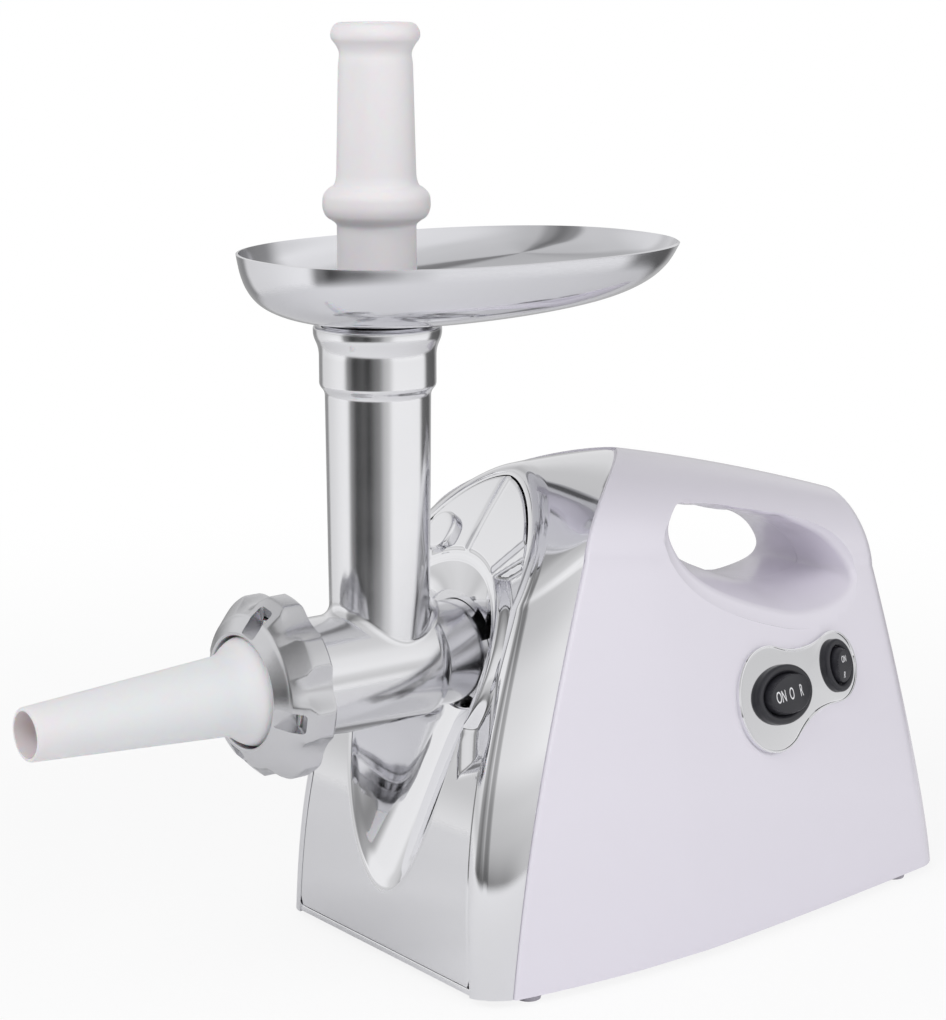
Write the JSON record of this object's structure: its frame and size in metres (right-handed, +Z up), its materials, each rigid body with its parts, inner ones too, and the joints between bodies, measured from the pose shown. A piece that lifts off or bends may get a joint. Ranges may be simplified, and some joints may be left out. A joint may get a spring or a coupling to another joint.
{
  "type": "electric meat grinder",
  "caption": "Electric meat grinder with chrome front, feed tube and tray, pusher, ring nut, sausage nozzle and carrying handle.",
  "frame": {"origin": "on the ground under the middle of the whole length and width", "axes": "+X towards the switch side, +Y towards the rear, +Z up; the nozzle points along -Y"},
  "size_m": [0.1788, 0.4766, 0.4238],
  "materials": {
    "white_plastic": "glossy",
    "chrome": "polished",
    "cast_aluminium": "polished",
    "rubber": "matte",
    "black_plastic": "semi-gloss",
    "milky_plastic": "translucent white",
    "steel": "machined",
    "bronze": "plain",
    "winding": "lacquered copper",
    "carbon": "matte"
  },
  "bodies": {
    "housing": {"housing_right": "white_plastic", "housing_left": "white_plastic", "cowl_frame": "chrome", "front_panel": "chrome", "base_plate": "white_plastic", "feet": "rubber", "cord_grommet": "rubber", "switch_plate": "chrome", "main_switch_body": "black_plastic", "reverse_switch_body": "black_plastic", "lock_spring": "steel", "head_socket": "cast_aluminium", "gearbox_cover": "steel", "gearbox_case": "steel", "output_bearing": "bronze", "intermediate_shaft": "steel", "stator_core": "steel", "field_coils": "winding", "motor_front_bracket": "steel", "motor_rear_bracket": "steel", "motor_bearings": "steel", "brush_holders": "bronze", "carbon_brushes": "carbon", "motor_studs": "steel", "gearbox_screws": "steel", "base_screws": "steel", "housing_screws": "steel"},
    "head": {"grinder_head": "cast_aluminium", "auger_bush": "milky_plastic", "cutting_plate": "steel", "sausage_nozzle": "milky_plastic"},
    "nut": {"ring_nut": "cast_aluminium"},
    "drive": {"output_gear": "steel", "auger": "cast_aluminium", "knife": "steel"},
    "intermediate": {"intermediate_gear": "milky_plastic"},
    "armature": {"armature_shaft": "steel", "armature_core": "winding", "commutator": "bronze", "cooling_fan": "black_plastic"},
    "tray_body": {"tray": "chrome"},
    "pusher_body": {"pusher": "milky_plastic"},
    "lock": {"lock_button": "chrome"},
    "main_switch_rocker": {"main_rocker": "black_plastic"},
    "reverse_switch_rocker": {"reverse_rocker": "black_plastic"}
  },
  "joints": [
    {"name": "head_twist", "type": "hinge", "parent": "housing", "child": "head", "pos_m": [0, -0.02075, 0.1405], "axis": [0, 1, 0], "range_deg": [0, 50]},
    {"name": "drive_spin", "type": "hinge", "parent": "housing", "child": "drive", "pos_m": [0, 0.00925, 0.1405], "axis": [0, 1, 0], "continuous": true},
    {"name": "intermediate_spin", "type": "hinge", "parent": "housing", "child": "intermediate", "pos_m": [0.02143, 0.01925, 0.10093], "axis": [0, 1, 0], "continuous": true},
    {"name": "armature_spin", "type": "hinge", "parent": "housing", "child": "armature", "pos_m": [0, 0.08925, 0.072], "axis": [0, 1, 0], "continuous": true},
    {"name": "nut_unscrew", "type": "hinge", "parent": "head", "child": "nut", "pos_m": [0, -0.12075, 0.1405], "axis": [0, -1, 0], "range_deg": [0, 900]},
    {"name": "tray_swivel", "type": "hinge", "parent": "head", "child": "tray_body", "pos_m": [0, -0.06075, 0.29], "axis": [0, 0, 1], "continuous": true},
    {"name": "pusher_slide", "type": "slide", "parent": "head", "child": "pusher_body", "axis": [0, 0, 1], "range_m": [-0.04, 0.075]},
    {"name": "lock_press", "type": "slide", "parent": "housing", "child": "lock", "axis": [0, 0.8232, -0.5677], "range_m": [0, 0.005], "deforming": ["lock_spring"]},
    {"name": "main_rocker_tip", "type": "hinge", "parent": "housing", "child": "main_switch_rocker", "pos_m": [0.06809, 0.1237, 0.10977], "axis": [-0.2604, -0.0502, 0.9642], "range_deg": [-12, 12]},
    {"name": "reverse_rocker_tip", "type": "hinge", "parent": "housing", "child": "reverse_switch_rocker", "pos_m": [0.05803, 0.16962, 0.11411], "axis": [0.1892, -0.9819, 0], "range_deg": [0, 18]}
  ],
  "couplings": [
    {"joint": "intermediate_spin", "follows": "drive_spin", "ratio": -4},
    {"joint": "armature_spin", "follows": "drive_spin", "ratio": 20}
  ]
}
